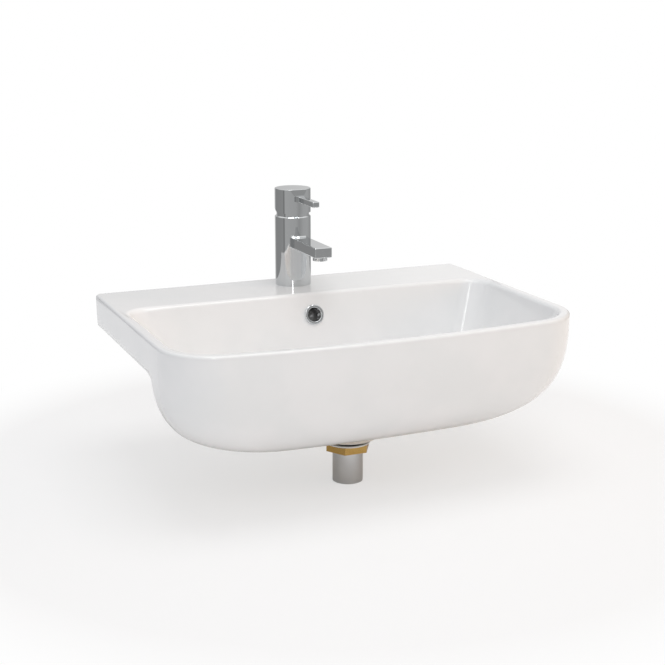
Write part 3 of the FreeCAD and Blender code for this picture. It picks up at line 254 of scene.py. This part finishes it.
def outline(half, front, back, front_radius, back_radius, bow=BOW_RADIUS):
    """The right half of a rounded outline, from the middle of its front to the middle of its back.

    The front is an arc of radius B about (0, front + B). A corner of radius r touches it from inside
    and touches x = half, so its centre is (half - r, front + B - sqrt((B - r)^2 - (half - r)^2)). The
    back corner is a quarter circle. The path's length s is stepped evenly up to the shoulder, where
    y = SHOULDER_Y, then along the side, round the back corner and along the back.
    """
    reach, centre_x = bow - front_radius, half - front_radius
    centre_y = front + bow - math.sqrt(reach ** 2 - centre_x ** 2)
    turn = math.asin(centre_x / reach)
    bend = np.linspace(0, turn, ARC_POINTS)
    corner = np.linspace(turn, math.pi / 2, ARC_POINTS)
    end = np.linspace(math.pi / 2, math.pi, ARC_POINTS)
    x = np.concatenate([bow * np.sin(bend), centre_x + front_radius * np.sin(corner),
                        half - back_radius + back_radius * np.sin(end), [0.0]])
    y = np.concatenate([front + bow - bow * np.cos(bend), centre_y - front_radius * np.cos(corner),
                        back - back_radius - back_radius * np.cos(end), [back]])
    length = np.concatenate([[0.0], np.cumsum(np.hypot(np.diff(x), np.diff(y)))])
    least = 1e-3
    shoulder = max(np.interp(SHOULDER_Y, y, length), least)
    bend_start = max(length[2 * ARC_POINTS], shoulder + least)
    marks = [0.0, shoulder, bend_start, length[3 * ARC_POINTS - 1], length[-1]]
    steps = (FRONT_STEPS, SIDE_STEPS, CORNER_STEPS, BACK_STEPS)
    at = np.concatenate([np.linspace(low, high, count, endpoint=False)
                         for low, high, count in zip(marks, marks[1:], steps)] + [marks[-1:]])
    return np.stack([np.interp(at, length, x), np.interp(at, length, y)], 1)


def whole(points):
    """A right half of a row of x, y, z with its mirror image on the left, as one closed round."""
    left = points[-2:0:-1] * np.array([-1.0, 1.0, 1.0])
    return np.concatenate([points, left])


def left_of(depth, full, power):
    """What is left of a form's width at a depth: (1 - (depth / full)^power)^(1 / power)."""
    return (1 - (depth / full) ** power) ** (1 / power)


def apron_half(depth):
    """Half the exposed front's width at a depth, in which it falls away by the power 3.5."""
    return HALF * left_of(depth, APRON_DEPTH, SIDE_POWER)


def apron_outline(depth, inset=0.0):
    """The exposed front's outline at a depth; its front falls away by the power 2.8 of the depth."""
    front = APRON_CENTRE - APRON_REACH * left_of(depth, APRON_DEPTH, FRONT_POWER)
    return outline(apron_half(depth) - inset, front + inset, BACK_Y - inset, FRONT_CORNER - inset,
                   BACK_CORNER - inset, BOW_RADIUS - inset)


def bowl_half(depth):
    """Half the bowl's width: its walls lean in by 0.30 of the depth and turn under by the power 6."""
    return (BOWL_HALF - TAPER * depth) * left_of(depth, BOWL_DEPTH, BOWL_POWER)


def bowl_back(depth):
    """The y of the bowl's back wall at a depth."""
    return BOWL_CENTRE + (BOWL_BACK - TAPER * depth) * left_of(depth, BOWL_DEPTH, BOWL_POWER)


def bowl_outline(depth):
    """The bowl's outline at a depth; its back corners open by 0.10 of the depth."""
    left = left_of(depth, BOWL_DEPTH, BOWL_POWER)
    front = BOWL_CENTRE - (BOWL_FRONT - TAPER * depth) * left
    return outline(bowl_half(depth), front, bowl_back(depth), BOWL_CORNER * left,
                   (BACK_BEND + BEND_GROWTH * depth) * left)


def outward(points):
    """Unit normals of the right half of an outline, out of it: the tangent (tx, ty) gives (ty, -tx)."""
    tangent = np.gradient(points, axis=0)
    tangent[0], tangent[-1] = (1.0, 0.0), (-1.0, 0.0)
    tangent /= np.linalg.norm(tangent, axis=1)[:, None]
    return np.stack([tangent[:, 1], -tangent[:, 0]], 1)


def lifted(points, height):
    """A row of x, y with its heights, as x, y, z."""
    return np.concatenate([points, np.broadcast_to(height, points.shape[:-1])[..., None]], axis=-1)


def even_depths(half_width, first, last, deepest, count):
    """Depths spaced evenly along a wall whose half width is a function of the depth."""
    depth = np.linspace(0, deepest, CURVE_POINTS)
    length = np.cumsum(np.hypot(np.gradient(half_width(depth)), np.gradient(depth)))
    ends = np.interp([first, last], depth, length)
    return np.interp(np.linspace(*ends, count), length, depth)


def between(first, last, count):
    """Rows on straight lines from one row to another, without these two."""
    return [first + (last - first) * share for share in np.linspace(0, 1, count)[1:-1]]


# ---------------------------------------------------------------- the basin's skin
def front_rows():
    """The exposed front from its foot to the seat, with a lip at each end that is inside the solid."""
    depths = even_depths(apron_half, APRON_FLOOR, RIM_Z, APRON_FLOOR, LOW_ROWS)[:-1]
    rows = [lifted(apron_outline(APRON_FLOOR, UNDER_LIP), RIM_Z - APRON_FLOOR + SUNK)]
    rows += [lifted(apron_outline(depth), RIM_Z - depth) for depth in depths]
    seat_lip = lifted(apron_outline(RIM_Z, SEAT_LIP), SUNK)
    rows[-1][FRONT_STEPS + 1:] = seat_lip[FRONT_STEPS + 1:]
    return rows


def rim_rows():
    """The band above the seat, and the quarter circle on the rim's outer edge."""
    band = [lifted(apron_outline(depth), RIM_Z - depth)
            for depth in np.linspace(RIM_Z, RIM_RADIUS, BAND_ROWS)]
    turns = np.linspace(0, math.pi / 2, RIM_ROWS)[1:]
    return band + [lifted(apron_outline(RIM_RADIUS, RIM_RADIUS * (1 - math.cos(turn))),
                          RIM_Z - RIM_RADIUS * (1 - math.sin(turn))) for turn in turns]


def mouth_rows():
    """The roll at the bowl's mouth, and at what depth of the wall it ends for each u.

    A ball of radius r(u) touches the deck and the wall, which leans in by tan(t) for each unit of depth.
    Its centre lies r (1 / cos(t) - tan(t)) outside the mouth and r under the deck, and it touches the
    wall at the angle t. r grows towards the back corners by a bell curve of u.
    """
    mouth, sample = bowl_outline(0.0), 10.0
    normal = outward(mouth)
    lean = ((mouth - bowl_outline(sample)) * normal).sum(1) / sample
    tilt = np.arctan(lean)
    corner = FRONT_STEPS + SIDE_STEPS + CORNER_STEPS / 2
    bell = np.exp(-((np.arange(HALF_COUNT) - corner) / ROLL_SPREAD) ** 2)
    radius = MOUTH_RADIUS + CORNER_ROLL * bell
    centre = (lean - 1 / np.cos(tilt)) * radius
    rows = []
    for share in np.linspace(0, 1, ROLL_ROWS):
        turn = math.pi / 2 + (tilt - math.pi / 2) * share
        inward = centre + radius * np.cos(turn)
        rows.append(lifted(mouth - normal * inward[:, None], RIM_Z - radius * (1 - np.sin(turn))))
    return rows, radius * (1 - np.sin(tilt))


def wall_rows(first):
    """The bowl's wall from the depth first(u) to its floor, read from a table of outlines by depth."""
    levels = np.arange(0, BOWL_FLOOR + LEVEL_STEP / 2, LEVEL_STEP)
    table = np.stack([bowl_outline(min(level, BOWL_FLOOR)) for level in levels])
    number = np.arange(HALF_COUNT)
    rows = []
    for share in even_depths(bowl_half, 0, BOWL_FLOOR, BOWL_FLOOR, WALL_ROWS)[1:] / BOWL_FLOOR:
        depth = first + (BOWL_FLOOR - first) * share
        at = np.clip((depth / LEVEL_STEP).astype(int), 0, len(levels) - 2)
        part = (depth / LEVEL_STEP - at)[:, None]
        rows.append(lifted(table[at, number] * (1 - part) + table[at + 1, number] * part, RIM_Z - depth))
    return rows


def floor_rows(edge):
    """Straight lines from the wall's foot to the dish, and down its cone to the waste's recess."""
    centre, step = np.array([0.0, WASTE_Y]), 0.5
    away = edge[:, :2] - centre
    distance = np.linalg.norm(away, axis=1)
    way = away / distance[:, None]
    start = np.minimum(DISH_RADIUS, distance - step)
    fall = DISH_DEPTH * (DISH_RADIUS - start) / (DISH_RADIUS - RECESS_RADIUS)
    dish = lifted(way * start[:, None] + centre, RIM_Z - BOWL_FLOOR - fall)
    bed = lifted(way * RECESS_RADIUS + centre, RIM_Z - BOWL_FLOOR - DISH_DEPTH)
    return between(edge, dish, FLOOR_ROWS) + [dish] + between(dish, bed, 3) + [bed]


def make_basin_skin():
    """The glazed skin that shows: one grid of rows by u, over the front, rim, deck, mouth and bowl."""
    front, rim = front_rows(), rim_rows()
    roll, first = mouth_rows()
    deck = between(rim[-1], roll[0], DECK_ROWS)
    wall = wall_rows(first)
    rows = np.stack([whole(row) for row in front + rim + deck + roll + wall + floor_rows(wall[-1])])
    height, count = rows.shape[:2]
    points = rows.reshape(-1, 3)
    row, column = np.meshgrid(np.arange(height - 1), np.arange(count), indexing="ij")
    after = (column + 1) % count
    here, above = row * count, (row + 1) * count
    faces = np.stack([here + column, here + after, above + after, above + column], -1)

    # below the seat only the front shows, and the tap and the overflow have their holes
    in_front = (column < FRONT_STEPS) | (column >= count - FRONT_STEPS)
    at_shoulder = (column == FRONT_STEPS) | (column == count - FRONT_STEPS - 1)
    seat = len(front) - 1
    gone = ((row < seat) & ~in_front) | ((row == seat) & at_shoulder)
    x, y, z = np.moveaxis(points[faces].mean(axis=2), -1, 0)
    gone |= np.hypot(x, y - TAP_Y) <= TAP_CLEAR
    lean = math.atan(TAPER)
    up_wall = (y - OVERFLOW_Y) * math.sin(lean) + (z - OVERFLOW_Z) * math.cos(lean)
    on_wall = (row >= len(front) + len(rim) + len(deck)) & (y > OVERFLOW_REACH)
    gone |= on_wall & (np.hypot(x, up_wall) < OVERFLOW_CLEAR)

    mesh = bpy.data.meshes.new("basin_skin")
    mesh.from_pydata((points * MM).tolist(), [], faces[~gone].tolist())
    mesh.materials.append(MATERIALS["glazed_ceramic"])
    mesh.polygons.foreach_set("use_smooth", np.ones(len(mesh.polygons), bool))
    mesh.validate()
    work = bmesh.new()
    work.from_mesh(mesh)
    bmesh.ops.remove_doubles(work, verts=work.verts, dist=WELD)
    loose = [vert for vert in work.verts if not vert.link_faces]
    bmesh.ops.delete(work, geom=loose, context="VERTS")
    return finished_piece(mesh, work)


def finished_piece(mesh, work):
    """Writes the edited mesh back and makes its object."""
    work.to_mesh(mesh)
    work.free()
    piece = bpy.data.objects.new(mesh.name, mesh)
    bpy.context.scene.collection.objects.link(piece)
    return piece


# ---------------------------------------------------------------- the basin's hidden sides
def make_basin_underside():
    """The basin's hidden sides from the CAD mesh: seat, shell, overflow channel, waste boss and the hollow
    above.
    """
    mesh = frame["nodes"]["basin"].data.copy()
    mesh.name = "basin_underside"
    work = bmesh.new()
    work.from_mesh(mesh)
    bmesh.ops.remove_doubles(work, verts=work.verts, dist=WELD)
    work.faces.ensure_lookup_table()
    x, y, z = np.array([face.calc_center_median() for face in work.faces]).T / MM
    upward = np.array([face.normal.z for face in work.faces]) > 0.5
    shown = on_rim_or_front(x, y, z) | in_bowl(x, y, z) | (upward & on_dish(x, y, z))
    bmesh.ops.delete(work, geom=[work.faces[at] for at in np.flatnonzero(shown)], context="FACES")
    piece = finished_piece(mesh, work)
    mark_underside(mesh)
    return piece


def on_rim_or_front(x, y, z):
    """Which places are on the deck, on the band above the seat or on the exposed front."""
    near = 0.1
    corner = np.hypot(np.maximum(np.abs(x) - HALF + BACK_CORNER, 0),
                      np.maximum(y - BACK_Y + BACK_CORNER, 0))
    deck = (z > RIM_Z - RIM_RADIUS - near) & (np.hypot(x, y - TAP_Y) > TAP_HOLE)
    band = (z > near / 10) & (corner > BACK_CORNER - 2)
    front = (y < SHOULDER_Y - near / 5) & (z > RIM_Z - APRON_FLOOR + near)
    return deck | band | front


def in_bowl(x, y, z):
    """Which places are within the bowl or at most 0.5 mm outside its form, more where it turns under."""
    depth = np.clip(RIM_Z - z, 0, BOWL_FLOOR)
    bend = BOWL_CORNER * left_of(depth, BOWL_DEPTH, BOWL_POWER)
    outside = np.hypot(np.maximum(np.abs(x) - bowl_half(depth) + bend, 0),
                       np.maximum(y - bowl_back(depth) + bend, 0)) - bend
    turning_under = 125
    return (outside < np.where(depth > turning_under, 2.5, 0.5)) & (z > RIM_Z - BOWL_FLOOR - 0.05)


def on_dish(x, y, z):
    """Which places are on the cone round the waste."""
    radius = np.hypot(x, y - WASTE_Y)
    low, high = RIM_Z - BOWL_FLOOR - DISH_DEPTH - 0.9, RIM_Z - BOWL_FLOOR + 0.1
    return (z < high) & (z > low) & (radius > RECESS_RADIUS) & (radius < DISH_RADIUS)


def mark_underside(mesh):
    """Stores which points are unglazed, on faces that look down, and which lie inside the overflow's
    channel, which is painted dark grey as painted shade.
    """
    count = len(mesh.vertices)
    place, normal = np.empty(count * 3), np.empty(count * 3)
    mesh.vertices.foreach_get("co", place)
    mesh.vertex_normals.foreach_get("vector", normal)
    x, y, z = place.reshape(-1, 3).T / MM
    down = normal.reshape(-1, 3)[:, 2] < -0.6
    # painted shade mask: the points inside the overflow's channel, painted dark grey in the glaze
    duct_shade = ((np.abs(x) < DUCT_HALF) & (y > DUCT_Y[0]) & (y < DUCT_Y[1]) &
            (z > DUCT_Z[0]) & (z < DUCT_Z[1]) & ~down)
    for name, share in (("bare", down & (z < 1)), ("duct_shade", duct_shade)):
        mesh.attributes.new(name, "FLOAT", "POINT").data.foreach_set("value", share.astype(np.float32))


def make_basin():
    """The basin's two surfaces, which ride on it and stand for its CAD mesh."""
    for piece in (make_basin_skin(), make_basin_underside()):
        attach(piece, "basin")
        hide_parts("basin")


# ---------------------------------------------------------------- studio
def make_floor():
    """A plain pale floor: lit near the object, so that it keeps the shadow, and white further out."""
    radius, count, centre_y = 1.3, 96, -0.2
    turn = np.arange(count) * 2 * math.pi / count
    rim = np.stack([radius * np.cos(turn), radius * np.sin(turn) + centre_y, np.full(count, FLOOR_Z)], 1)
    mesh = bpy.data.meshes.new("floor")
    mesh.from_pydata(rim.tolist(), [], [list(range(count))])
    floor = bpy.data.objects.new("floor", mesh)
    bpy.context.scene.collection.objects.link(floor)
    made, tree, place = new_material("pale_floor")
    distance = add(tree, "VectorMath", {0: place, 1: (0.0, centre_y, FLOOR_Z)},
                   operation="DISTANCE").outputs["Value"]
    plain = add(tree, "BsdfDiffuse", {"Color": srgb("F4F4F4")}).outputs[0]
    white = add(tree, "Emission", {"Color": (1.0, 1.0, 1.0, 1.0), "Strength": 1.0}).outputs[0]
    to_camera, fade_start, fade_end = 0.55, 0.32, 0.68
    near = math_node(tree, "MULTIPLY", add(tree, "LightPath").outputs["Is Camera Ray"], to_camera)
    share = math_node(tree, "MAXIMUM", near, ramp(tree, distance, fade_start, fade_end))
    mix = add(tree, "MixShader", {0: share, 1: plain, 2: white}).outputs[0]
    output = add(tree, "OutputMaterial")
    tree.links.new(mix, output.inputs["Surface"])
    mesh.materials.append(made)


def make_world():
    """White to the camera; to every other ray a studio whose walls differ by direction."""
    world = bpy.data.worlds.new("studio")
    bpy.context.scene.world = world
    world.use_nodes = True
    tree = world.node_tree
    tree.nodes.clear()
    way = add(tree, "SeparateXYZ", {0: add(tree, "TexCoord").outputs["Generated"]})
    x, y, z = way.outputs
    azimuth = math_node(tree, "ARCTAN2", x, math_node(tree, "MULTIPLY", y, -1.0))
    stops = [(-180, 0.60), (-166, 0.58), (-163, 0.29), (-86, 0.33), (-82, 0.22), (-79, 0.22), (-71, 0.47),
             (0, 0.44), (21, 0.36), (50, 0.45), (88, 0.47), (96, 0.42), (108, 0.42), (116, 0.36),
             (140, 0.36), (147, 0.90), (153, 0.90), (160, 0.58), (180, 0.60)]
    curve = add(tree, "FloatCurve")
    points = curve.mapping.curves[0].points
    share = [((angle + 180) / 360, level / 2) for angle, level in stops]
    points[0].location, points[-1].location = share[0], share[-1]
    for at in share[1:-1]:
        points.new(*at)
    for point in points:
        point.handle_type = "VECTOR"
    curve.mapping.update()
    turned = add(tree, "MapRange", {"Value": azimuth, "From Min": -math.pi, "From Max": math.pi}).outputs[0]
    tree.links.new(turned, curve.inputs["Value"])
    wall = math_node(tree, "MULTIPLY", curve.outputs[0], 2.0)
    ceiling = ramp(tree, z, 0.35, 0.8)
    rays = add(tree, "LightPath").outputs
    mirrored = add(tree, "Mix", {0: ceiling, 2: wall, 3: 1.0}, data_type="FLOAT").outputs[0]
    side = ramp(tree, x, -0.9, 0.9)
    tint = blend_colours(tree, side, (0.30, 0.31, 0.345, 1.0), (0.60, 0.535, 0.475, 1.0))
    soft = blend_colours(tree, ceiling, tint, (0.64, 0.64, 0.65, 1.0))
    lit = blend_colours(tree, rays["Is Glossy Ray"], soft, mirrored)
    seen = blend_colours(tree, rays["Is Camera Ray"], lit, (1.0, 1.0, 1.0, 1.0))
    background = add(tree, "Background", {"Color": seen, "Strength": 1.0})
    output = add(tree, "OutputWorld")
    tree.links.new(background.outputs[0], output.inputs["Surface"])


def area_light(name, azimuth, elevation, distance, width, height, power, tint="FFFFFF"):
    """A soft rectangular light that looks at the basin from an azimuth (0 is in front, -90 is left)."""
    data = bpy.data.lights.new(name, "AREA")
    data.shape = "RECTANGLE"
    data.size, data.size_y = width, height
    data.energy = power
    data.color = srgb(tint)[:3]
    light = bpy.data.objects.new(name, data)
    bpy.context.scene.collection.objects.link(light)
    turn, rise = math.radians(azimuth), math.radians(elevation)
    way = Vector((math.sin(turn) * math.cos(rise), -math.cos(turn) * math.cos(rise), math.sin(rise)))
    light.location = Vector((0, -0.15, 0.05)) + way * distance
    light.rotation_euler = way.to_track_quat("Z", "Y").to_euler()
    return light


def make_camera():
    """The photograph's own view: a long lens from the left, looking down a little."""
    data = bpy.data.cameras.new("camera")
    data.sensor_width, data.lens = 36.0, 71.37
    camera = bpy.data.objects.new("camera", data)
    bpy.context.scene.collection.objects.link(camera)
    camera.location = (-0.6768, -1.7731, 0.4434)
    camera.rotation_euler = (math.radians(90 - 14.28), 0, math.radians(-23.04))
    bpy.context.scene.camera = camera


make_basin()
make_camera()
make_floor()
make_world()
area_light("overhead", 0, 78, 2.2, 1.6, 1.2, 17)
area_light("lamp", -25, 27, 3.0, 0.30, 2.07, 11)
area_light("warm_fill", 70, 12, 2.6, 0.8, 0.8, 9, "FFD2A8").visible_glossy = False
bpy.context.scene.view_settings.view_transform = "Standard"
